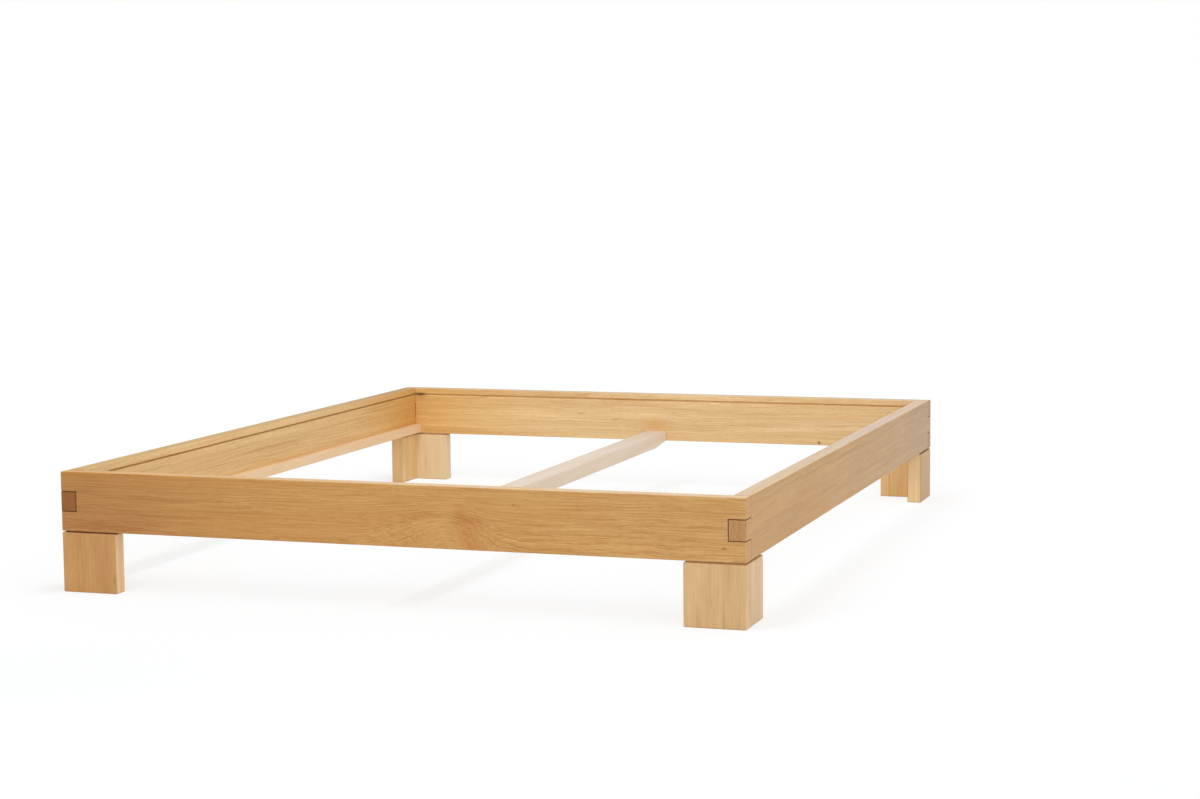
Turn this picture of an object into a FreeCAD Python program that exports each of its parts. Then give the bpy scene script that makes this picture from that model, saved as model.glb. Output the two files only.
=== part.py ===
"""Low oak bed frame: four finger-jointed rails on four L-shaped corner legs.

Millimetres. +X runs along the end rails, +Y from the foot end to the head end, +Z up.
The origin lies on the floor under the middle of the frame.
"""
import FreeCAD
import Part
import math
import os

V = FreeCAD.Vector
UP = V(0, 0, 1)

# ---------------------------------------------------------------- driving sizes
# The well inside the rails is the mattress size.
mattress_width = 1600.0
mattress_length = 2000.0

rail_thickness = 40.0
rail_height = 142.0
rail_arris = 2.5

# Finger joint: three fingers share the rail height, and the side rail has the middle one.
fingers_per_corner = 3
finger_gap = 0.2
finger_chamfer = 1.6

# Shadow groove along the inner face of every rail, wider at the ends of the end rails.
groove_height = 5.0
groove_depth = 6.0
groove_below_top = 15.3
groove_mouth_height = 7.5
groove_mouth_length = 34.0

leg_height = 146.0
leg_arm = 142.0
leg_thickness = 40.0
leg_arris = 2.0
leg_end_arris = 1.6
shadow_gap_height = 3.0
shadow_gap_depth = 7.0

# Loose hardwood tongue across each leg's mitre, hidden inside the two boards.
tongue_thickness = 6.0
tongue_width = 20.0
tongue_from_leg_corner = 24.0
tongue_from_leg_end = 14.0
tongue_gap = 0.1
tongue_end_gap = 0.3

# Slat bearers. Ledges and beam carry slats at one level, counted from the rails' underside.
slat_level = 29.0
ledge_width = 18.0
ledge_height = 26.0
ledge_arris = 1.0
ledge_end_gap = 0.3
ledge_tongue_height = 10.0
ledge_tongue_depth = 6.0
ledge_tongue_gap = 0.1
ledge_tongue_end_gap = 0.3

beam_width = 65.0
beam_depth = 40.0
beam_arris = 4.0
beam_taper_length = 105.0
tenon_width = 45.0
tenon_height = 15.0
tenon_length = 12.0
tenon_gap = 0.25
mortise_end_gap = 0.5

# Hexagon head screws up through the legs into sleeves in the rails.
bolt_diameter = 8.0
bolt_length = 120.0
bolt_grip_in_rail = 22.0
bolt_head_width = 13.0
bolt_head_height = 5.3
bolt_hole_gap = 0.5
washer_diameter = 20.0
washer_thickness = 2.0
washer_bore_gap = 0.25
counterbore_gap = 1.0
insert_diameter = 12.0
insert_length = 25.0
insert_bore_gap = 0.05
insert_hole_gap = 0.05
insert_hole_end_gap = 0.3
bolt_from_leg_corner = 91.0

# Modelling aids: points closer than this are one point, and cutters pass a face by this much.
same_point = 0.01
overshoot = 1.0

# ---------------------------------------------------------------- sizes that follow
frame_width = mattress_width + 2 * rail_thickness
frame_length = mattress_length + 2 * rail_thickness
finger_height = rail_height / fingers_per_corner
bolt_seat = leg_height + bolt_grip_in_rail - bolt_length
leg_body_height = leg_height - shadow_gap_height
groove_top = rail_height - groove_below_top
groove_bottom = groove_top - groove_height
groove_middle = (groove_top + groove_bottom) / 2
ledge_length = mattress_length - 2 * ledge_end_gap
ledge_bottom = slat_level - ledge_height
tenon_bottom = (slat_level - tenon_height) / 2
bolt_across_leg = leg_thickness / 2
mitre_angle = 45


# ---------------------------------------------------------------- helpers
def box(low, high):
    """Block between two opposite corners."""
    size = [high[i] - low[i] for i in range(3)]
    return Part.makeBox(size[0], size[1], size[2], V(*low))


def upright_cylinder(diameter, length, start):
    return Part.makeCylinder(diameter / 2, length, V(*start), UP)


def tube(outer_diameter, inner_diameter, length, bottom):
    """Round sleeve or disc with a bore, standing on the Z axis."""
    outside = upright_cylinder(outer_diameter, length, (0, 0, bottom))
    return outside.cut(upright_cylinder(inner_diameter, length, (0, 0, bottom)))


def edges_inside(shape, low, high):
    """Edges that lie wholly between two corners."""
    region = FreeCAD.BoundBox(*low, *high)
    region.enlarge(same_point)
    return [edge for edge in shape.Edges if region.isInside(edge.BoundBox)]


def edges_along(shape, axis):
    """Straight edges parallel to one of the axes 0, 1 and 2."""
    found = []
    for edge in shape.Edges:
        spans = (edge.BoundBox.XLength, edge.BoundBox.YLength, edge.BoundBox.ZLength)
        across = [spans[i] for i in range(3) if i != axis]
        if max(across) < same_point:
            found.append(edge)
    return found


def placed(shape, x, y, z, turn):
    """Copy turned about the upright axis by whole degrees, then moved."""
    rotation = FreeCAD.Rotation(UP, turn)
    copy = shape.copy()
    copy.Placement = FreeCAD.Placement(V(x, y, z), rotation).multiply(copy.Placement)
    return copy


def export(node, shape):
    shape.exportStep(os.path.join("parts", node + ".step"))


# ---------------------------------------------------------------- rails
# A rail is made lying along X with its outer face on Y = 0, its inner face on
# Y = rail_thickness and its underside on Z = 0, centred on X = 0.
def rail_board(length):
    """Plain board with its four long edges rounded."""
    half = length / 2
    board = box((-half, 0, 0), (half, rail_thickness, rail_height))
    return board.makeFillet(rail_arris, edges_along(board, 0))


def groove(length):
    """Cutter for the shadow groove, centred on X = 0."""
    inner = rail_thickness
    return box((-length / 2, inner - groove_depth, groove_bottom),
               (length / 2, inner + overshoot, groove_top))


def groove_mouths(inner_length):
    """Cutters for the two wider stretches at the ends of an end rail's groove."""
    mouths = []
    for side in (-1, 1):
        end = side * inner_length / 2
        inside = end - side * groove_mouth_length
        mouths.append(box((min(end, inside), rail_thickness - groove_depth,
                           groove_middle - groove_mouth_height / 2),
                          (max(end, inside), rail_thickness + overshoot,
                           groove_middle + groove_mouth_height / 2)))
    return mouths


def insert_holes(length):
    """Blind holes in a rail's underside for the two threaded inserts."""
    diameter = insert_diameter + 2 * insert_hole_gap
    depth = insert_length + insert_hole_end_gap
    reach = length / 2 - bolt_from_leg_corner
    return [upright_cylinder(diameter, depth, (x, bolt_across_leg, 0)) for x in (-reach, reach)]


def middle_finger_zone(length, side, gap):
    """Space of the side rail's finger at one end of a rail, widened by a gap."""
    outside = side * (length / 2 + overshoot)
    shoulder = side * (length / 2 - rail_thickness - gap)
    bottom = finger_height * (fingers_per_corner // 2) - gap
    top = finger_height * (fingers_per_corner // 2 + 1) + gap
    return box((min(outside, shoulder), -overshoot, bottom),
               (max(outside, shoulder), rail_thickness + overshoot, top))


def eased_finger_edges(rail, length, shoulder_faces):
    """Edges of the fingers that show on the outer face and on the ends, to be chamfered."""
    chosen = []
    for side in (-1, 1):
        end = side * length / 2
        shoulder = end - side * (rail_thickness + finger_gap)
        chosen += edges_inside(rail, (end, 0, 0), (end, rail_thickness, rail_height))
        on_face = edges_inside(rail, (min(end, shoulder), 0, rail_arris),
                               (max(end, shoulder), 0, rail_height - rail_arris))
        chosen += [edge for edge in on_face if not edge_is_known(edge, chosen)]
        if shoulder_faces:
            inner = end - side * rail_thickness
            at_shoulder = edges_inside(rail, (inner, 0, 0), (inner, 0, rail_height))
            chosen += [edge for edge in at_shoulder if not edge_is_known(edge, chosen)]
    return chosen


def edge_is_known(edge, others):
    return any(edge.isSame(other) for other in others)


def end_rail():
    """Head or foot rail: top and bottom fingers, and a notch for the side rail's finger."""
    rail = rail_board(frame_width)
    notches = [middle_finger_zone(frame_width, side, finger_gap) for side in (-1, 1)]
    rail = rail.cut(Part.makeCompound(notches)).removeSplitter()
    rail = rail.makeChamfer(finger_chamfer, eased_finger_edges(rail, frame_width, False))
    mortise = box((-tenon_width / 2 - tenon_gap, rail_thickness - tenon_length - mortise_end_gap,
                   tenon_bottom - tenon_gap),
                  (tenon_width / 2 + tenon_gap, rail_thickness + overshoot,
                   tenon_bottom + tenon_height + tenon_gap))
    cutters = [mortise, groove(mattress_width)]
    cutters += groove_mouths(mattress_width)
    cutters += insert_holes(frame_width)
    return rail.cut(cutters)


def side_rail():
    """Long rail: one middle finger at each end, and a groove for its ledge's tongue."""
    rail = rail_board(frame_length)
    cutters = []
    for side in (-1, 1):
        outside = side * (frame_length / 2 + overshoot)
        shoulder = side * mattress_length / 2
        zone = middle_finger_zone(frame_length, side, 0).BoundBox
        for bottom, top in ((-overshoot, zone.ZMin), (zone.ZMax, rail_height + overshoot)):
            cutters.append(box((min(outside, shoulder), -overshoot, bottom),
                               (max(outside, shoulder), rail_thickness + overshoot, top)))
    rail = rail.cut(cutters).removeSplitter()
    rail = rail.makeChamfer(finger_chamfer, eased_finger_edges(rail, frame_length, True))
    cutters = [groove(frame_length), ledge_tongue(mattress_length, ledge_tongue_gap, ledge_tongue_end_gap)]
    cutters += insert_holes(frame_length)
    return rail.cut(cutters)


# ---------------------------------------------------------------- legs
# A leg is made with its outer corner at the origin and its arms along +X and +Y.
def l_outline(inset, height, level):
    """L-shaped prism whose outline is drawn in by an inset."""
    far = leg_arm - inset
    near = inset
    inner = leg_thickness - inset
    points = [(near, near), (far, near), (far, inner), (inner, inner), (inner, far), (near, far)]
    corners = [V(x, y, level) for x, y in points]
    outline = Part.makePolygon(corners + corners[:1])
    return Part.Face(outline).extrude(V(0, 0, height))


def eased_l_block():
    """Leg without its shadow rebate, all edges eased but the upright one in the L's inner corner."""
    block = l_outline(0, leg_body_height, 0)
    inner_corner = V(leg_thickness, leg_thickness, leg_body_height / 2)
    upright = [edge for edge in edges_along(block, 2)
               if edge.BoundBox.Center.sub(inner_corner).Length > same_point]
    block = block.makeChamfer(leg_arris, upright)
    rims = edges_inside(block, (0, 0, 0), (leg_arm, leg_arm, 0))
    rims += edges_inside(block, (0, 0, leg_body_height), (leg_arm, leg_arm, leg_body_height))
    return block.makeChamfer(leg_end_arris, rims)


def mitre_half(along_x):
    """Wedge on one side of the mitre plane that runs through the leg's outer corner."""
    reach = 2 * leg_arm
    low = V(-reach, -reach, -overshoot)
    high = V(reach, reach, -overshoot)
    third = V(reach, -reach, -overshoot) if along_x else V(-reach, reach, -overshoot)
    face = Part.Face(Part.makePolygon([low, high, third, low]))
    return face.extrude(V(0, 0, leg_height + 2 * overshoot))


def leg_bolt_place(along_x):
    if along_x:
        return bolt_from_leg_corner, bolt_across_leg
    return bolt_across_leg, bolt_from_leg_corner


def mitre_tongue(gap, end_gap):
    """Tongue square to the mitre plane; with gaps around it, the slot that takes it."""
    thickness = tongue_thickness + 2 * gap
    width = tongue_width + 2 * end_gap
    bottom = tongue_from_leg_end - end_gap
    top = leg_body_height - tongue_from_leg_end + end_gap
    tongue = box((-thickness / 2, -width / 2, bottom), (thickness / 2, width / 2, top))
    return placed(tongue, tongue_from_leg_corner, tongue_from_leg_corner, 0, mitre_angle)


def leg_board(along_x):
    """One of the two mitred boards, with its bolt hole, counterbore and half of the tongue's slot."""
    block = eased_l_block().fuse(l_outline(shadow_gap_depth, shadow_gap_height, leg_body_height))
    x, y = leg_bolt_place(along_x)
    start = (x, y, -overshoot)
    hole = upright_cylinder(bolt_diameter + 2 * bolt_hole_gap, leg_height + 2 * overshoot, start)
    counterbore = upright_cylinder(washer_diameter + 2 * counterbore_gap, bolt_seat + overshoot, start)
    board = block.common(mitre_half(along_x)).removeSplitter()
    return board.cut([hole, counterbore, mitre_tongue(tongue_gap, tongue_end_gap)])


# ---------------------------------------------------------------- slat bearers
def ledge_tongue(length, gap, end_gap):
    """Tongue on a ledge's back; with gaps around it, the groove in the rail that takes it."""
    middle = ledge_bottom + ledge_height / 2
    half_height = ledge_tongue_height / 2 + gap
    return box((-length / 2, rail_thickness - ledge_tongue_depth - end_gap, middle - half_height),
               (length / 2, rail_thickness + overshoot, middle + half_height))


def ledge():
    """Bearer strip tongued into a side rail's inner face, made along X like the rail."""
    half = ledge_length / 2
    front = rail_thickness + ledge_width
    strip = box((-half, rail_thickness, ledge_bottom), (half, front, slat_level))
    front_edges = edges_inside(strip, (-half, front, ledge_bottom), (half, front, slat_level))
    strip = strip.makeFillet(ledge_arris, [edge for edge in front_edges if edge.Length > ledge_height])
    return strip.fuse(ledge_tongue(ledge_length, 0, 0)).removeSplitter()


def centre_beam():
    """Beam from rail to rail: stub tenons, and an underside that slants up to each end."""
    half = mattress_length / 2
    knee = half - beam_taper_length
    side_points = [(-half, slat_level), (half, slat_level), (half, 0), (knee, slat_level - beam_depth),
                   (-knee, slat_level - beam_depth), (-half, 0)]
    corners = [V(-beam_width / 2, y, z) for y, z in side_points]
    body = Part.Face(Part.makePolygon(corners + corners[:1])).extrude(V(beam_width, 0, 0))
    long_edges = [edge for edge in body.Edges
                  if edge.BoundBox.XLength < same_point and edge.BoundBox.YLength > beam_taper_length / 2]
    body = body.makeFillet(beam_arris, long_edges)
    for side in (-1, 1):
        shoulder = side * (half - overshoot)
        tip = side * (half + tenon_length)
        tenon = box((-tenon_width / 2, min(shoulder, tip), tenon_bottom),
                    (tenon_width / 2, max(shoulder, tip), tenon_bottom + tenon_height))
        body = body.fuse(tenon)
    return body.removeSplitter()


# ---------------------------------------------------------------- fasteners
def hexagon_screw():
    """M8 hexagon head screw standing on its head, thread left smooth, washer seat above the head."""
    head_top = bolt_seat - washer_thickness
    head_bottom = head_top - bolt_head_height
    corner_radius = bolt_head_width / math.sqrt(3)
    angles = [math.radians(60 * i) for i in range(6)]
    outline = [V(corner_radius * math.cos(a), corner_radius * math.sin(a), head_bottom) for a in angles]
    head = Part.Face(Part.makePolygon(outline + outline[:1])).extrude(V(0, 0, bolt_head_height))
    return head.fuse(upright_cylinder(bolt_diameter, bolt_length, (0, 0, head_top)))


def washer():
    return tube(washer_diameter, bolt_diameter + 2 * washer_bore_gap, washer_thickness,
                bolt_seat - washer_thickness)


def threaded_insert():
    """Sleeve in the rail's underside, thread left smooth."""
    return tube(insert_diameter, bolt_diameter + 2 * insert_bore_gap, insert_length, leg_height)


# ---------------------------------------------------------------- placing
# Each corner: name, outer corner in X and Y, turn of the leg, and which arm lies under the end rail.
half_width = frame_width / 2
half_length = frame_length / 2
corners = [
    ("foot_left", -half_width, -half_length, 0, True),
    ("foot_right", half_width, -half_length, 90, False),
    ("head_right", half_width, half_length, 180, True),
    ("head_left", -half_width, half_length, 270, False),
]

os.makedirs("parts", exist_ok=True)

end_board = end_rail()
export("foot_end_rail", placed(end_board, 0, -half_length, leg_height, 0))
export("head_end_rail", placed(end_board, 0, half_length, leg_height, 180))

side_board = side_rail()
export("right_side_rail", placed(side_board, half_width, 0, leg_height, 90))
export("left_side_rail", placed(side_board, -half_width, 0, leg_height, 270))

export("right_ledge", placed(ledge(), half_width, 0, leg_height, 90))
export("left_ledge", placed(ledge(), -half_width, 0, leg_height, 270))
export("centre_beam", placed(centre_beam(), 0, 0, leg_height, 0))

leg_boards = {along_x: leg_board(along_x) for along_x in (True, False)}
groups = {"leg_bolts": [], "leg_bolt_washers": [], "leg_bolt_inserts": []}
for corner, x, y, turn, x_arm_under_end_rail in corners:
    for along_x in (True, False):
        arm = "end" if along_x == x_arm_under_end_rail else "side"
        export(corner + "_leg_" + arm + "_board", placed(leg_boards[along_x], x, y, 0, turn))
        bolt_x, bolt_y = leg_bolt_place(along_x)
        for group, make in (("leg_bolts", hexagon_screw), ("leg_bolt_washers", washer),
                            ("leg_bolt_inserts", threaded_insert)):
            groups[group].append(placed(placed(make(), bolt_x, bolt_y, 0, 0), x, y, 0, turn))
    export(corner + "_leg_tongue", placed(mitre_tongue(0, 0), x, y, 0, turn))
for group, pieces in groups.items():
    export(group, Part.makeCompound(pieces))
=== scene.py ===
"""Low oak bed frame: materials, floor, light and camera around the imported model.

Metres, in the model's own frame: +X along the end rails, +Y from foot end to head end, +Z up.
Colours in whole numbers are 0 to 255 display values. Tints, in fractions, are factors in linear light.
"""

import math

import bpy
from mathutils import Matrix, Vector


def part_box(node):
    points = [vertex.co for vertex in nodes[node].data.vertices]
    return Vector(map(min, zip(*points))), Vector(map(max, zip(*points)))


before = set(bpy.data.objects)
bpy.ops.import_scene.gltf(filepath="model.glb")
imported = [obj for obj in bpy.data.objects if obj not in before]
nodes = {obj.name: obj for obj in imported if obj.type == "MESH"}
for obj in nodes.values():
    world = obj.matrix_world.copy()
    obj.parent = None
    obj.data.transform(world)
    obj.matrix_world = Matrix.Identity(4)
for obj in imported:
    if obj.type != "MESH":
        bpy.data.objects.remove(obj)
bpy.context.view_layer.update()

AXES = {"X": 0, "Y": 1, "Z": 2}
# A width in metres, far more than the bed's length, for patches that don't fade along an axis.
EVERYWHERE = 9.0
# Where the faces lie that most stains are on: Y of the foot rail's outer face and of the head rail's
# inner face, X of the left rail's inner face and of the right rail's outer face.
FOOT_OUTER = -1.04
HEAD_INNER = 1.00
LEFT_INNER = -0.80
RIGHT_OUTER = 0.84

# ---------------------------------------------------------------- species
# tone and end are the base colours of the wide faces and of end grain. pale and dark are the tints
# between which the shade of both moves, warm and pore tint the tone in warm patches and in pores, and
# edge is the tint of the narrow faces. That tint is partly the wood, cut across other rings there, and
# partly painted light: painted sheen, paler and bluer, on the tops of the foot and right rails, and
# painted light on narrow leg faces in the rails' shade. broad, medium, fine and rings say how far each
# kind of figure moves the shade; pores and warmth say how strongly pores and warm patches show.
# ring is the width of one year's wood, wave and ripple are the sizes of the slow and fast waves that
# bend the rings, all in metres. length draws the streaks out along the grain. pith is where the middle
# of the tree lies, across the wide face and into the board, measured from the board's middle.
OAK = {
    "tone": (212, 170, 118), "end": (190, 146, 100), "edge": (1.0, 1.0, 1.0),
    "pale": (1.12, 1.17, 1.24), "dark": (0.84, 0.74, 0.60),
    "warm": (1.02, 0.92, 0.74), "pore": (0.56, 0.42, 0.30),
    "broad": 0.14, "medium": 0.48, "fine": 1.10, "rings": 0.36, "pores": 0.60, "warmth": 0.4,
    "ring": 0.0042, "wave": 0.026, "ripple": 0.008, "length": 1.0, "pith": (-0.10, 0.16),
    "roughness": 0.40,
}
BEECH = {
    "tone": (228, 208, 184), "end": (206, 176, 146), "edge": (1.0, 1.0, 1.0),
    "pale": (1.05, 1.07, 1.10), "dark": (0.93, 0.89, 0.84),
    "warm": (1.02, 0.97, 0.90), "pore": (0.75, 0.66, 0.56),
    "broad": 0.60, "medium": 0.40, "fine": 0.30, "rings": 0.15, "pores": 0.25, "warmth": 0.5,
    "ring": 0.0030, "wave": 0.020, "ripple": 0.006, "length": 1.0, "pith": (-0.06, 0.12),
    "roughness": 0.50,
}
# Specular level of the boards that have no sheen of their own.
SHEEN = 0.30
# What the upright leg boards have in common: broader and softer figure, with shorter streaks.
UPRIGHT = {
    "broad": 0.45, "medium": 0.30, "fine": 0.30, "rings": 0.12, "pores": 0.3,
    "wave": 0.012, "ripple": 0.004, "length": 0.6,
}

# Each board: species, grain axis, axis across its wide face, and what differs from its species. seed
# tells the boards' noises apart. A bump bends the rings round a knot: centre, widths and height. A stain
# is a soft patch of colour: centre, widths, colour and strength. Most are the wood's own; those marked
# below are painted light, shade or sheen. The stains at Z 0.289, 1 mm above the rails, colour little
# more than their tops, where they make the top darker and more orange against its painted sheen. A
# board's own gap colour replaces the painted shade in the rebate at the top of a leg board with a
# lighter colour, which eases that shade. sheen is the specular level where that isn't SHEEN.
# Where the photograph shows a board, its tones, tints, bumps and stains follow it. The tones and end
# colours differ partly as real boards do and partly as painted light: lighter where more light fell, on
# the head rail, the inner faces of the head end legs and the foot end's right leg; the left rail's
# finger ends darker, as painted shade, and the foot rail's ends paler, as painted sheen.
BOARDS = {
    "foot_end_rail": (OAK, "X", "Z", {
        "seed": 1, "tone": (196, 148, 86), "end": (211, 165, 114), "pith": (-0.11, 0.15),
        "edge": (1.29, 1.63, 2.50), "ripple": 0.0055, "length": 1.25,
        "bumps": [((0.148, FOOT_OUTER, 0.138), (0.072, EVERYWHERE, 0.078), 0.050),
                  ((0.055, FOOT_OUTER, 0.165), (0.100, EVERYWHERE, 0.070), 0.012)],
        # Painted shade, darker towards the left end, where less light fell; some of it is the board's own
        # tone.
        "stains_and_painted_light": [((-0.84, FOOT_OUTER, 0.21), (0.46, EVERYWHERE, EVERYWHERE), (150, 94, 44), 0.47),
                   # Darker and more orange on the left half of the top, against its painted sheen.
                   ((-0.84, -1.02, 0.289), (0.60, EVERYWHERE, 0.0030), (188, 120, 12), 0.82),
                   # Painted light, paler towards the right end, where more light fell.
                   ((0.84, FOOT_OUTER, 0.21), (0.60, EVERYWHERE, EVERYWHERE), (206, 160, 99), 0.70),
                   ((-0.72, FOOT_OUTER, 0.165), (0.16, EVERYWHERE, 0.020), (165, 100, 56), 0.40),
                   ((-0.62, FOOT_OUTER, 0.192), (0.18, EVERYWHERE, 0.0028), (150, 96, 50), 0.45),
                   ((-0.62, FOOT_OUTER, 0.231), (0.20, EVERYWHERE, 0.0024), (150, 96, 50), 0.40),
                   ((0.200, FOOT_OUTER, 0.213), (0.032, EVERYWHERE, 0.016), (182, 118, 58), 0.60),
                   ((0.176, FOOT_OUTER, 0.222), (0.012, EVERYWHERE, 0.016), (184, 122, 60), 0.50),
                   ((0.196, FOOT_OUTER, 0.180), (0.018, EVERYWHERE, 0.026), (194, 126, 68), 0.55),
                   ((0.216, FOOT_OUTER, 0.156), (0.020, EVERYWHERE, 0.012), (190, 124, 66), 0.45),
                   ((0.090, FOOT_OUTER, 0.222), (0.032, EVERYWHERE, 0.010), (184, 126, 66), 0.50),
                   ((0.118, FOOT_OUTER, 0.196), (0.045, EVERYWHERE, 0.018), (212, 166, 102), 0.45),
                   ((0.450, FOOT_OUTER, 0.172), (0.130, EVERYWHERE, 0.014), (212, 164, 98), 0.35),
                   ((0.760, FOOT_OUTER, 0.158), (0.090, EVERYWHERE, 0.010), (216, 170, 106), 0.35),
                   ((0.668, FOOT_OUTER, 0.186), (0.090, EVERYWHERE, 0.022), (190, 138, 80), 0.30),
                   ((0.791, FOOT_OUTER, 0.176), (0.005, EVERYWHERE, 0.0024), (128, 80, 36), 0.75),
                   ((0.307, FOOT_OUTER, 0.253), (0.004, EVERYWHERE, 0.0030), (140, 94, 48), 0.50)]}),
    "head_end_rail": (OAK, "X", "Z", {
        "seed": 2, "tone": (234, 200, 149), "end": (186, 150, 112), "pith": (0.13, 0.20), "wave": 0.040,
        "edge": (0.85, 0.90, 0.99), "broad": 0.40, "medium": 0.50, "fine": 0.50, "rings": 0.35,
        "ripple": 0.006, "length": 1.8,
        "stains_and_painted_light": [((-0.84, HEAD_INNER, 0.20), (0.42, EVERYWHERE, EVERYWHERE), (224, 171, 88), 0.66),
                   # Painted shade, darker and more orange just above the beam's end.
                   ((-0.002, HEAD_INNER, 0.195), (0.040, EVERYWHERE, 0.018), (222, 166, 90), 0.50),
                   ((-0.245, HEAD_INNER, 0.222), (0.012, EVERYWHERE, 0.0030), (212, 150, 78), 0.75),
                   ((-0.130, HEAD_INNER, 0.208), (0.010, EVERYWHERE, 0.0030), (212, 150, 78), 0.55),
                   ((0.511, HEAD_INNER, 0.154), (0.0036, EVERYWHERE, 0.0036), (44, 24, 12), 1.0),
                   # Painted light, easing the shade inside the groove along the top of the inner face.
                   ((0.0, 1.002, 0.269), (EVERYWHERE, 0.008, 0.0040), (250, 207, 142), 0.8),
                   # Painted shade in the wider mouth at the groove's left end.
                   ((-0.784, 1.003, 0.269), (0.018, 0.006, 0.0060), (96, 54, 22), 0.95),
                   ((0.548, HEAD_INNER, 0.166), (0.008, EVERYWHERE, 0.012), (238, 204, 150), 0.70)]}),
    "left_side_rail": (OAK, "Y", "Z", {
        "seed": 3, "tone": (230, 194, 141), "end": (144, 93, 53), "pith": (-0.12, -0.16),
        "edge": (0.74, 0.68, 0.455), "sheen": 0.06,
        "broad": 0.42, "medium": 0.45, "fine": 0.40, "rings": 0.30,
        "wave": 0.028, "ripple": 0.005, "length": 2.0,
        "stains_and_painted_light": [((LEFT_INNER, 1.00, 0.20), (EVERYWHERE, 0.34, EVERYWHERE), (214, 153, 58), 0.66),
                   ((LEFT_INNER, 0.20, 0.186), (EVERYWHERE, 0.62, 0.016), (222, 174, 108), 0.30),
                   ((LEFT_INNER, -0.34, 0.2115), (EVERYWHERE, 0.17, 0.0024), (192, 144, 84), 0.50),
                   ((LEFT_INNER, 0.02, 0.2250), (EVERYWHERE, 0.20, 0.0026), (192, 144, 84), 0.50),
                   ((LEFT_INNER, 0.40, 0.2380), (EVERYWHERE, 0.22, 0.0028), (192, 144, 84), 0.50),
                   ((LEFT_INNER, 0.74, 0.2490), (EVERYWHERE, 0.18, 0.0028), (188, 138, 76), 0.50),
                   # Painted light, easing the shade inside the groove along the top of the inner face.
                   ((-0.802, 0.0, 0.269), (0.008, EVERYWHERE, 0.0040), (240, 196, 128), 0.6)]}),
    "right_side_rail": (OAK, "Y", "Z", {
        "seed": 4, "tone": (200, 152, 82), "end": (187, 141, 94), "pith": (0.02, -0.20),
        "edge": (1.22, 1.66, 3.70), "broad": 0.26, "medium": 0.40, "fine": 0.45, "rings": 0.20,
        "wave": 0.006, "ripple": 0.003, "length": 2.2,
        # Painted sheen, paler and greyer towards the head end.
        "stains_and_painted_light": [((RIGHT_OUTER, 1.04, 0.21), (EVERYWHERE, 0.80, EVERYWHERE), (176, 150, 118), 0.55),
                   # Darker and more orange on the head half of the top, against its painted sheen.
                   ((0.82, 1.04, 0.289), (EVERYWHERE, 0.70, 0.0030), (214, 151, 74), 0.82),
                   ((RIGHT_OUTER, -0.679, 0.193), (EVERYWHERE, 0.07, 0.022), (184, 150, 104), 0.30),
                   ((RIGHT_OUTER, -0.319, 0.165), (EVERYWHERE, 0.012, 0.0040), (168, 124, 84), 0.40)]}),
    "foot_left_leg_end_board": (OAK, "Z", "X", {
        **UPRIGHT, "seed": 5, "tone": (193, 147, 90), "edge": (1.55, 1.96, 3.10),
        "stains_and_painted_light": [((-0.748, FOOT_OUTER, 0.112), (0.010, EVERYWHERE, 0.036), (176, 124, 68), 0.50),
                   ((-0.767, FOOT_OUTER, 0.060), (0.006, EVERYWHERE, 0.050), (208, 164, 106), 0.50),
                   ((-0.799, FOOT_OUTER, 0.110), (0.002, EVERYWHERE, 0.040), (172, 124, 70), 0.45),
                   ((-0.715, FOOT_OUTER, 0.080), (0.022, EVERYWHERE, 0.050), (194, 141, 92), 0.50),
                   ((-0.810, FOOT_OUTER, 0.004), (0.030, EVERYWHERE, 0.012), (196, 138, 84), 0.50),
                   ((-0.702, FOOT_OUTER, 0.030), (0.003, EVERYWHERE, 0.012), (150, 100, 55), 0.50)]}),
    "foot_left_leg_side_board": (OAK, "Z", "Y", {
        **UPRIGHT, "seed": 6, "tone": (200, 156, 104)}),
    "foot_right_leg_end_board": (OAK, "Z", "X", {
        # Its gap colour is lighter, easing the painted shade in the rebate.
        **UPRIGHT, "seed": 7, "tone": (214, 178, 128), "gap": (222, 176, 124),
        "stains_and_painted_light": [((0.7895, FOOT_OUTER, 0.010), (0.0010, EVERYWHERE, 0.040), (140, 100, 58), 0.75),
                   ((0.707, FOOT_OUTER, 0.110), (0.006, EVERYWHERE, 0.030), (214, 150, 110), 0.2)]}),
    "foot_right_leg_side_board": (OAK, "Z", "Y", {
        # Its gap colour is lighter, easing the painted shade in the rebate.
        **UPRIGHT, "seed": 8, "tone": (228, 194, 149), "gap": (222, 176, 124)}),
    "head_right_leg_end_board": (OAK, "Z", "X", {
        **UPRIGHT, "seed": 9, "tone": (238, 200, 140),
        "stains_and_painted_light": [((0.725, HEAD_INNER, 0.05), (0.0018, EVERYWHERE, EVERYWHERE), (150, 108, 60), 0.35)]}),
    "head_right_leg_side_board": (OAK, "Z", "Y", {
        **UPRIGHT, "seed": 10, "tone": (200, 162, 114), "edge": (1.55, 1.78, 2.10)}),
    "head_left_leg_end_board": (OAK, "Z", "X", {
        # Its gap colour is lighter still, painted light against the shade in the rebate.
        **UPRIGHT, "seed": 11, "tone": (238, 213, 174), "gap": (255, 232, 200),
        "broad": 0.22, "medium": 0.14, "fine": 0.12, "rings": 0.05, "pores": 0.1,
        "stains_and_painted_light": [((-0.768, HEAD_INNER, 0.051), (0.0020, EVERYWHERE, 0.024), (190, 158, 114), 0.40)]}),
    "head_left_leg_side_board": (OAK, "Z", "Y", {
        # Its gap colour is lighter still, painted light against the shade in the rebate.
        **UPRIGHT, "seed": 12, "tone": (233, 203, 150), "gap": (255, 232, 200),
        "edge": (1.04, 0.96, 0.90), "fine": 0.15, "pores": 0.1}),
    "left_ledge": (BEECH, "Y", "Z", {"seed": 13, "tone": (240, 208, 167)}),
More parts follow.
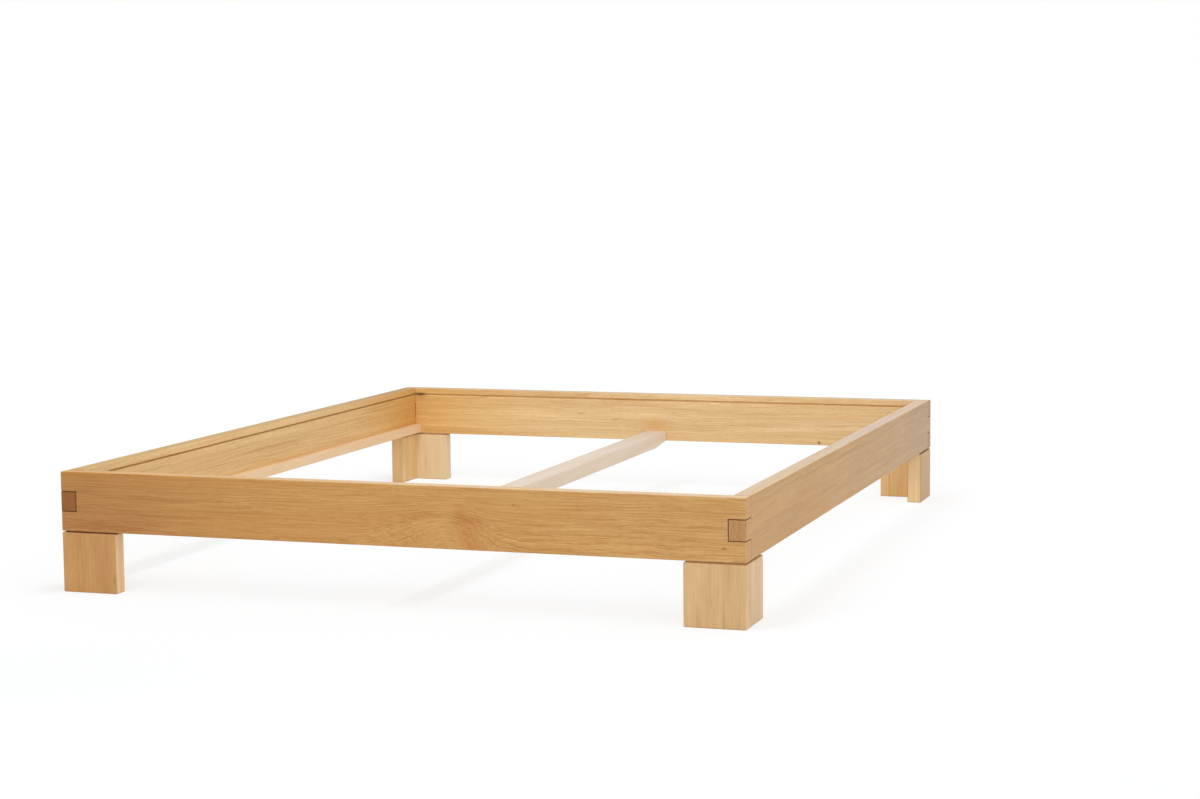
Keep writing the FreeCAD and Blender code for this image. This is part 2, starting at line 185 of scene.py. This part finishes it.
    "right_ledge": (BEECH, "Y", "Z", {"seed": 14, "tone": (240, 208, 167)}),
    "centre_beam": (BEECH, "Y", "X", {"seed": 15, "tone": (232, 216, 198), "edge": (1.08, 1.08, 1.07)}),
    "foot_left_leg_tongue": (BEECH, "Z", "X", {"seed": 16}),
    "foot_right_leg_tongue": (BEECH, "Z", "X", {"seed": 17}),
    "head_right_leg_tongue": (BEECH, "Z", "X", {"seed": 18}),
    "head_left_leg_tongue": (BEECH, "Z", "X", {"seed": 19}),
}

# Seams between the fingers: the line is full up to half this distance from the joint and gone at the
# whole of it.
JOINT_LINE = 0.0014
JOINT_COLOUR = (84, 46, 18)
# Painted shade in the gap between leg and rail: it is gone at the first of these distances below the
# top of a leg board and full at the second.
GAP_SHADE_COLOUR = (124, 62, 24)
GAP_GONE = 0.0034
GAP_FULL = 0.0028
# How strongly both show, and how much rougher they are than the wood.
SEAM_AND_GAP_SHADE_STRENGTH = 0.85
SEAM_ROUGHNESS = 0.5

# ---------------------------------------------------------------- figure of the wood
# Scales of the noises, per metre. The first number is along the grain. In the streaks and patches the
# second one is across the rings.
SLOW_WAVES = (1.1, 7.0, 7.0)
FAST_WAVES = (14.0, 30.0, 30.0)
PORE_DASHES = (42.0, 600.0, 600.0)
BROAD_STREAKS = (2.4, 60.0, 5.0)
MEDIUM_STREAKS = (5.5, 440.0, 20.0)
FINE_STREAKS = (9.0, 760.0, 260.0)
WARM_PATCHES = (1.8, 24.0, 8.0)
# The finer streaks have more detail than plain noise.
STREAK_DETAIL = {"detail": 3.0, "roughness": 0.6}
# How far each step of the seed moves the noises.
SEED_STEPS = (3.17, 1.31, 2.23)
FIGURE_SEED_STEPS = (5.3, 0.7, 1.9)
# The part of a noise that is used, from none to full.
STREAK_RANGE = (0.34, 0.66)
PORE_RANGE = (0.58, 0.68)
PATCH_RANGE = (0.45, 0.65)
# A year starts dark, pales until the first share of its width and darkens again after the second.
RING_PALE = 0.45
RING_DARKENS = 0.86
# The random value up to which a year is at its faintest, how dark that is, and the darkness of a ring
# that leaves the shade as it is.
FAINT_YEARS = 0.2
FAINTEST_YEAR = 0.1
RING_NEUTRAL = 0.25
# Strength of the pores everywhere, and what the dark part of a ring adds to it.
PORES_EVERYWHERE = 0.4
PORES_IN_RING = 0.6
# A face counts as square to an axis from this share of facing it, fully so after the fade. End grain
# starts earlier, so that it takes in the eased arrises.
FACE_LEAST = 0.80
END_GRAIN_LEAST = 0.50
FACE_FADE = 0.15
# Roughness: what the noise of the fine streaks adds when it goes from 0 to 1, and how much rougher end
# grain is.
ROUGHNESS_SPREAD = 0.16
END_GRAIN_ROUGHNESS = 0.15
# Relief: how much fine streaks and rings take part beside the pores, and its strength and depth.
RELIEF_OF_STREAKS = 0.5
RELIEF_OF_RINGS = 0.25
RELIEF_STRENGTH = 0.35
RELIEF_DEPTH = 0.0003

# ---------------------------------------------------------------- plated steel
ZINC = (196, 198, 202)
YELLOW_ZINC = (198, 184, 140)
# Scale of the crystals, per metre, the share of the colour that the darkest have, the roughness of the
# smoothest and the roughest, and the parts of the noise that colour and roughness use.
CRYSTALS = 320.0
CRYSTAL_SHADE = 0.8
CRYSTAL_ROUGHNESS = (0.28, 0.45)
CRYSTAL_COLOUR_RANGE = (0.35, 0.65)
CRYSTAL_ROUGHNESS_RANGE = (0.3, 0.7)

# ---------------------------------------------------------------- camera, solved from the frame's edges
# Place in metres, turns in radians, lens and sensor in millimetres, and how far it sees in metres.
CAMERA_PLACE = (2.1705, -5.9188, 1.0318)
CAMERA_TURN = 0.32773
CAMERA_DOWN = 0.10421
CAMERA_ROLL = -0.00935
CAMERA_LENS = 71.397
SENSOR_WIDTH = 36.0
CAMERA_REACH = 100.0

# ---------------------------------------------------------------- lamps
# A long narrow softbox high up beyond the foot end, placed by the shadows on the floor: place, aim, power
# in watts and the width and length of its face.
SOFTBOX_PLACE = (-0.38, -1.90, 3.10)
SOFTBOX_AIM = (0.0, 0.0, 0.2)
SOFTBOX_POWER = 40.0
SOFTBOX_WIDTH = 0.36
SOFTBOX_LENGTH = 4.4
# A very wide, even fill from the right of the foot end: direction of its source, strength and width in
# degrees.
FILL_SOURCE = (0.78, -0.55, 0.30)
FILL_STRENGTH = 0.85
FILL_WIDTH = 100.0


# ---------------------------------------------------------------- shader nodes
WHITE = (1.0, 1.0, 1.0, 1.0)
# Sockets of the mix node for colours, whose names it shares with those for other data.
MIX_FIRST = 6
MIX_SECOND = 7
MIX_RESULT = 2


def linear(colour):
    """Display colour, 0 to 255, to the scene-linear values that the shaders take."""
    channels = []
    for value in colour:
        value = value / 255
        channels.append(value / 12.92 if value <= 0.04045 else ((value + 0.055) / 1.055) ** 2.4)
    return (*channels, 1.0)


def tinted(colour, tint):
    """Display colour multiplied by a tint in linear light."""
    return (*(channel * share for channel, share in zip(linear(colour), tint)), 1.0)


class Graph:
    """A node tree, with short calls for the nodes that the materials use."""

    def __init__(self, owner):
        owner.use_nodes = True
        self.owner = owner
        self.tree = owner.node_tree
        self.tree.nodes.clear()

    def node(self, kind, **settings):
        made = self.tree.nodes.new("ShaderNode" + kind)
        for name, value in settings.items():
            setattr(made, name, value)
        return made

    def feed(self, socket, value):
        """Give a socket another node's output or a constant."""
        if isinstance(value, bpy.types.NodeSocket):
            self.tree.links.new(value, socket)
        else:
            socket.default_value = value

    def math(self, operation, *values, clamp=False):
        made = self.node("Math", operation=operation, use_clamp=clamp)
        for socket, value in zip(made.inputs, values):
            self.feed(socket, value)
        return made.outputs[0]

    def vector(self, operation, *values):
        made = self.node("VectorMath", operation=operation)
        for socket, value in zip(made.inputs, values):
            self.feed(socket, value)
        return made.outputs["Value" if operation in ("LENGTH", "DOT_PRODUCT") else "Vector"]

    def combine(self, x, y, z):
        made = self.node("CombineXYZ")
        for socket, value in zip(made.inputs, (x, y, z)):
            self.feed(socket, value)
        return made.outputs[0]

    def split(self, vector):
        made = self.node("SeparateXYZ")
        self.feed(made.inputs[0], vector)
        return made.outputs

    def noise(self, place, stretch, detail=2.0, roughness=0.5):
        """Noise from about 0.2 to 0.8, stretched along the axes."""
        made = self.node("TexNoise")
        self.feed(made.inputs["Vector"], self.vector("MULTIPLY", place, stretch))
        made.inputs["Scale"].default_value = 1.0
        made.inputs["Detail"].default_value = detail
        made.inputs["Roughness"].default_value = roughness
        return made.outputs["Fac"]

    def ramp(self, value, low, high, at_low=0.0, at_high=1.0, smooth=True):
        """Value mapped from low..high to at_low..at_high and held beyond."""
        made = self.node("MapRange", interpolation_type="SMOOTHSTEP" if smooth else "LINEAR")
        for socket, number in zip(made.inputs, (value, low, high, at_low, at_high)):
            self.feed(socket, number)
        return made.outputs[0]

    def mix(self, share, first, second):
        """The first colour at a share of 0, the second at 1."""
        made = self.node("Mix", data_type="RGBA")
        self.feed(made.inputs["Factor"], share)
        self.feed(made.inputs[MIX_FIRST], first)
        self.feed(made.inputs[MIX_SECOND], second)
        return made.outputs[MIX_RESULT]

    def bell(self, place, centre, widths):
        """1 at the centre, falling off smoothly over the widths along the three axes."""
        away = self.vector("SUBTRACT", place, centre)
        away = self.vector("MULTIPLY", away, tuple(1 / width for width in widths))
        squared = self.vector("DOT_PRODUCT", away, away)
        return self.math("POWER", math.e, self.math("MULTIPLY", squared, -1.0))

    def finish(self, shader, kind="OutputMaterial"):
        """Link the shader to the output and return the material or world."""
        output = self.node(kind)
        self.tree.links.new(shader, output.inputs["Surface"])
        return self.owner


def joint_lines(g, place):
    """1 on the seams round the four side rail fingers, which pass through the end rails."""
    low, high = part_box("foot_end_rail")
    finger = (high.z - low.z) / 3
    thickness = high.y - low.y
    corner = (high.x - thickness, abs(low.y) - thickness, finger / 2)
    folded = g.vector("ABSOLUTE", g.vector("SUBTRACT", place, (0.0, 0.0, (low.z + high.z) / 2)))
    x, y, z = g.split(g.vector("SUBTRACT", folded, corner))

    def starts(distance):
        """0 well before an edge of the finger, 1 from just before it on."""
        return g.ramp(distance, -JOINT_LINE, -JOINT_LINE * 0.5)

    def ends(distance):
        """1 until just past an edge of the finger, 0 further on."""
        return g.ramp(distance, JOINT_LINE * 0.5, JOINT_LINE, 1.0, 0.0)

    level = g.math("MULTIPLY", ends(g.math("ABSOLUTE", z)), starts(x))
    upright = g.math("MULTIPLY", ends(g.math("ABSOLUTE", x)), ends(z))
    return g.math("MULTIPLY", g.math("MAXIMUM", level, upright), starts(y))


def faces_along(g, axis, least=FACE_LEAST):
    """1 on faces that are square to an axis, 0 on those that face it by less than the least share."""
    normal = g.node("TexCoord").outputs["Normal"]
    facing = g.vector("DOT_PRODUCT", normal, tuple(float(name == axis) for name in AXES))
    return g.ramp(g.math("ABSOLUTE", facing), least, least + FACE_FADE)


# ---------------------------------------------------------------- wood
def wood(name, species, grain, across, changes):
    """Solid wood: figure that follows rings round a pith line outside the board, pores and end grain."""
    look = {**species, **changes}
    g = Graph(bpy.data.materials.new(name))
    low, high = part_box(name)
    place = g.node("TexCoord").outputs["Object"]
    depth = next(axis for axis in AXES if axis not in (grain, across))
    parts = g.split(g.vector("SUBTRACT", place, tuple((low + high) / 2)))
    along_grain, over_face, into_board = (parts[AXES[axis]] for axis in (grain, across, depth))
    local = g.combine(along_grain, over_face, into_board)
    seed = look["seed"]
    seeded = g.vector("ADD", local, tuple(seed * step for step in SEED_STEPS))

    # Distance from the pith, bent by slow and fast waves along the board and by knots.
    from_pith = g.vector("SUBTRACT", local, (0.0, look["pith"][0], look["pith"][1]))
    distance = g.vector("LENGTH", g.vector("MULTIPLY", from_pith, (0.0, 1.0, 1.0)))
    bent = g.math("MULTIPLY_ADD", g.noise(seeded, SLOW_WAVES), look["wave"], distance)
    bent = g.math("MULTIPLY_ADD", g.noise(seeded, FAST_WAVES, detail=3.0), look["ripple"], bent)
    for centre, widths, height in look.get("bumps", ()):
        bent = g.math("MULTIPLY_ADD", g.bell(place, centre, widths), -height, bent)

    # Figure: streaks of three sizes that run along the grain and follow the rings.
    figure = g.combine(along_grain, bent, g.math("ADD", over_face, into_board))
    figure = g.vector("ADD", figure, tuple(seed * step for step in FIGURE_SEED_STEPS))

    def streaks(scale, **kind):
        """Noise along the rings, drawn out along the grain."""
        along, across_rings, beside = scale
        return g.noise(figure, (along / look["length"], across_rings, beside), **kind)

    broad = streaks(BROAD_STREAKS)
    medium = streaks(MEDIUM_STREAKS, **STREAK_DETAIL)
    fine = streaks(FINE_STREAKS, **STREAK_DETAIL)
    shade = 0.5
    for pattern, share in ((broad, look["broad"]), (medium, look["medium"]), (fine, look["fine"])):
        centred = g.ramp(pattern, *STREAK_RANGE, -0.5, 0.5, smooth=False)
        shade = g.math("MULTIPLY_ADD", centred, share, shade)

    # Growth rings: a dark porous start to each year, stronger in some years.
    count = g.math("DIVIDE", bent, look["ring"])
    year = g.node("TexWhiteNoise", noise_dimensions="1D")
    g.feed(year.inputs["W"], g.math("ADD", g.math("FLOOR", count), seed))
    phase = g.math("FRACT", count)
    ring = g.math("MAXIMUM", g.ramp(phase, 0.0, RING_PALE, 1.0, 0.0), g.ramp(phase, RING_DARKENS, 1.0))
    strength = g.ramp(year.outputs["Value"], FAINT_YEARS, 1.0, FAINTEST_YEAR, 1.0, smooth=False)
    ring = g.math("MULTIPLY", ring, strength)
    darkness = g.math("SUBTRACT", ring, RING_NEUTRAL)
    shade = g.math("MULTIPLY_ADD", darkness, look["rings"], shade, clamp=True)

    # Pores are short dark dashes, stronger where a ring starts.
    dashes = g.ramp(g.noise(seeded, PORE_DASHES, detail=1.0), *PORE_RANGE)
    pore = g.math("MULTIPLY", dashes, g.math("MULTIPLY_ADD", ring, PORES_IN_RING, PORES_EVERYWHERE))

    def shaded(base):
        """A colour between its pale and its dark tint, by the shade."""
        return g.mix(shade, tinted(base, look["pale"]), tinted(base, look["dark"]))

    colour = shaded(look["tone"])
    patches = g.ramp(g.noise(figure, WARM_PATCHES), *PATCH_RANGE)
    warm = tinted(look["tone"], look["warm"])
    colour = g.mix(g.math("MULTIPLY", patches, look["warmth"]), colour, warm)
    # Stains: the wood's own marks, and some painted light, shade and sheen.
    for centre, widths, patch_colour, strength in look.get("stains_and_painted_light", ()):
        spot = g.math("MULTIPLY", g.bell(place, centre, widths), strength)
        colour = g.mix(spot, colour, shaded(patch_colour))

    # Narrow edges, whose tint is partly painted light and sheen, and end grain.
    edge_tint = g.mix(faces_along(g, across), WHITE, (*look["edge"], 1.0))
    colour = g.vector("MULTIPLY", colour, edge_tint)
    end_grain = faces_along(g, grain, END_GRAIN_LEAST)
    colour = g.mix(end_grain, colour, shaded(look["end"]))
    colour = g.mix(g.math("MULTIPLY", pore, look["pores"]), colour, tinted(look["tone"], look["pore"]))

    # Dark seams round the rails' fingers, and painted shade in the rebate at the top of the leg boards.
    seam_and_gap_shade = 0.0
    if name.endswith("_rail"):
        seam_and_gap_shade = joint_lines(g, place)
        colour = g.mix(g.math("MULTIPLY", seam_and_gap_shade, SEAM_AND_GAP_SHADE_STRENGTH), colour, linear(JOINT_COLOUR))
    if name.endswith("_board"):
        seam_and_gap_shade = g.ramp(g.split(place)[AXES["Z"]], high.z - GAP_GONE, high.z - GAP_FULL)
        gap = linear(look.get("gap", GAP_SHADE_COLOUR))
        colour = g.mix(g.math("MULTIPLY", seam_and_gap_shade, SEAM_AND_GAP_SHADE_STRENGTH), colour, gap)

    shader = g.node("BsdfPrincipled")
    shader.inputs["Specular IOR Level"].default_value = look.get("sheen", SHEEN)
    g.feed(shader.inputs["Base Color"], colour)
    smoothest = look["roughness"] - ROUGHNESS_SPREAD / 2
    roughness = g.math("MULTIPLY_ADD", fine, ROUGHNESS_SPREAD, smoothest)
    roughness = g.math("MULTIPLY_ADD", end_grain, END_GRAIN_ROUGHNESS, roughness)
    roughness = g.math("MULTIPLY_ADD", seam_and_gap_shade, SEAM_ROUGHNESS, roughness, clamp=True)
    g.feed(shader.inputs["Roughness"], roughness)
    dents = g.math("MULTIPLY_ADD", ring, RELIEF_OF_RINGS, pore)
    bump = g.node("Bump")
    bump.inputs["Strength"].default_value = RELIEF_STRENGTH
    bump.inputs["Distance"].default_value = RELIEF_DEPTH
    g.feed(bump.inputs["Height"], g.math("SUBTRACT", g.math("MULTIPLY", fine, RELIEF_OF_STREAKS), dents))
    g.feed(shader.inputs["Normal"], bump.outputs["Normal"])
    return g.finish(shader.outputs[0])


# ---------------------------------------------------------------- metal
def plated_steel(name, colour):
    """Zinc plate: bright metal with fine cloudy crystals."""
    g = Graph(bpy.data.materials.new(name))
    place = g.node("TexCoord").outputs["Object"]
    cloud = g.noise(place, (CRYSTALS, CRYSTALS, CRYSTALS), detail=3.0)
    shader = g.node("BsdfPrincipled")
    shader.inputs["Metallic"].default_value = 1.0
    darker = tuple(channel * CRYSTAL_SHADE for channel in colour)
    share = g.ramp(cloud, *CRYSTAL_COLOUR_RANGE)
    g.feed(shader.inputs["Base Color"], g.mix(share, linear(colour), linear(darker)))
    g.feed(shader.inputs["Roughness"], g.ramp(cloud, *CRYSTAL_ROUGHNESS_RANGE, *CRYSTAL_ROUGHNESS))
    return g.finish(shader.outputs[0])


def dress(node, material):
    """Give a node's every slot the material."""
    for slot in nodes[node].material_slots:
        slot.material = material


# ---------------------------------------------------------------- floor and world
FLOOR_HALF_SIZE = 30.0
# The colour of the floor for the light that it throws onto the bed.
FLOOR_BOUNCE = (244, 244, 244)
# What the floor seems to give off by itself. Under the softbox this is less by the dip, which fades over
# the reach, in metres.
FLOOR_GLOW = 0.762
FLOOR_GLOW_DIP = 0.125
FLOOR_GLOW_REACH = 2.5
# Corrections to the glow, by the photograph: the shadow beside the right rail is fainter, and those left
# of the two left legs are deeper. Each has a place, widths and a strength.
FLOOR_TOUCHES = (
    ((0.94, 0.1, 0.0), (0.18, 1.4, EVERYWHERE), 0.016),
    ((-0.88, -1.02, 0.0), (0.055, 0.060, EVERYWHERE), -0.055),
    ((-0.89, 1.00, 0.0), (0.070, 0.090, EVERYWHERE), -0.070),
)
# How much of the light on it the floor shows where it is seen directly, as linear values. It is a little
# more blue than red, so that the shadow stays neutral beside the warm wood.
FLOOR_SHADE = (0.323, 0.330, 0.339)
# Strength of the world as light on the object. Seen directly, its strength is 1, which is white.
AMBIENT = 0.64


def seen_directly(g):
    """1 for rays from the camera, also by way of a reflection or glass, 0 for light on the object."""
    path = g.node("LightPath").outputs
    seen = g.math("MAXIMUM", path["Is Camera Ray"], path["Is Glossy Ray"])
    return g.math("MAXIMUM", seen, path["Is Transmission Ray"])


def white_floor():
    """Floor that looks white where it is lit and keeps the object's shadow."""
    g = Graph(bpy.data.materials.new("floor_white"))
    bounce = g.node("BsdfDiffuse")
    bounce.inputs["Color"].default_value = linear(FLOOR_BOUNCE)
    shaded = g.node("BsdfDiffuse")
    shaded.inputs["Color"].default_value = (*FLOOR_SHADE, 1.0)
    glow = g.node("Emission")
    glow.inputs["Color"].default_value = WHITE
    under_softbox = (SOFTBOX_PLACE[0], SOFTBOX_PLACE[1], 0.0)
    place = g.node("TexCoord").outputs["Object"]
    away = g.vector("LENGTH", g.vector("SUBTRACT", place, under_softbox))
    dip = g.math("POWER", math.e, g.math("DIVIDE", away, -FLOOR_GLOW_REACH))
    level = g.math("MULTIPLY_ADD", dip, -FLOOR_GLOW_DIP, FLOOR_GLOW)
    for centre, widths, strength in FLOOR_TOUCHES:
        level = g.math("MULTIPLY_ADD", g.bell(place, centre, widths), strength, level)
    g.feed(glow.inputs["Strength"], level)
    both = g.node("AddShader")
    g.feed(both.inputs[0], shaded.outputs[0])
    g.feed(both.inputs[1], glow.outputs[0])
    choice = g.node("MixShader")
    g.feed(choice.inputs[0], seen_directly(g))
    g.feed(choice.inputs[1], bounce.outputs[0])
    g.feed(choice.inputs[2], both.outputs[0])
    return g.finish(choice.outputs[0])


def make_floor():
    """One large square at the height of the legs' undersides."""
    mesh = bpy.data.meshes.new("floor")
    half = FLOOR_HALF_SIZE
    corners = [(-half, -half, 0), (half, -half, 0), (half, half, 0), (-half, half, 0)]
    mesh.from_pydata(corners, [], [(0, 1, 2, 3)])
    floor = bpy.data.objects.new("floor", mesh)
    bpy.context.scene.collection.objects.link(floor)
    mesh.materials.append(white_floor())


def make_world():
    """White where it is seen directly, weaker as light on the object."""
    world = bpy.data.worlds.new("studio")
    g = Graph(world)
    background = g.node("Background")
    background.inputs["Color"].default_value = WHITE
    strength = g.ramp(seen_directly(g), 0.0, 1.0, AMBIENT, 1.0, smooth=False)
    g.feed(background.inputs["Strength"], strength)
    bpy.context.scene.world = g.finish(background.outputs[0], "OutputWorld")


def make_softbox():
    """The lamp that casts the shadows on the floor, out of the camera's sight."""
    lamp = bpy.data.lights.new("softbox", "AREA")
    lamp.energy = SOFTBOX_POWER
    lamp.shape = "RECTANGLE"
    lamp.size = SOFTBOX_WIDTH
    lamp.size_y = SOFTBOX_LENGTH
    holder = bpy.data.objects.new("softbox", lamp)
    holder.location = SOFTBOX_PLACE
    away = Vector(SOFTBOX_PLACE) - Vector(SOFTBOX_AIM)
    holder.rotation_euler = away.to_track_quat("Z", "Y").to_euler()
    holder.visible_camera = False
    bpy.context.scene.collection.objects.link(holder)


def make_fill():
    """A sun lamp as wide as much of the sky, so that its own shadows are very soft."""
    lamp = bpy.data.lights.new("fill", "SUN")
    lamp.energy = FILL_STRENGTH
    lamp.angle = math.radians(FILL_WIDTH)
    holder = bpy.data.objects.new("fill", lamp)
    holder.rotation_euler = Vector(FILL_SOURCE).to_track_quat("Z", "Y").to_euler()
    bpy.context.scene.collection.objects.link(holder)


def make_camera():
    """The photograph's own point of view."""
    data = bpy.data.cameras.new("camera")
    data.lens = CAMERA_LENS
    data.sensor_fit = "HORIZONTAL"
    data.sensor_width = SENSOR_WIDTH
    data.clip_end = CAMERA_REACH
    camera = bpy.data.objects.new("camera", data)
    camera.matrix_world = (Matrix.Translation(CAMERA_PLACE)
                           @ Matrix.Rotation(CAMERA_TURN, 4, "Z")
                           @ Matrix.Rotation(math.pi / 2 - CAMERA_DOWN, 4, "X")
                           @ Matrix.Rotation(CAMERA_ROLL, 4, "Z"))
    bpy.context.scene.collection.objects.link(camera)
    bpy.context.scene.camera = camera


for board, (species, grain, across, changes) in BOARDS.items():
    dress(board, wood(board, species, grain, across, changes))
zinc = plated_steel("zinc", ZINC)
dress("leg_bolts", zinc)
dress("leg_bolt_washers", zinc)
dress("leg_bolt_inserts", plated_steel("yellow_zinc", YELLOW_ZINC))

make_floor()
make_world()
make_softbox()
make_fill()
make_camera()
bpy.context.scene.view_settings.view_transform = "Standard"
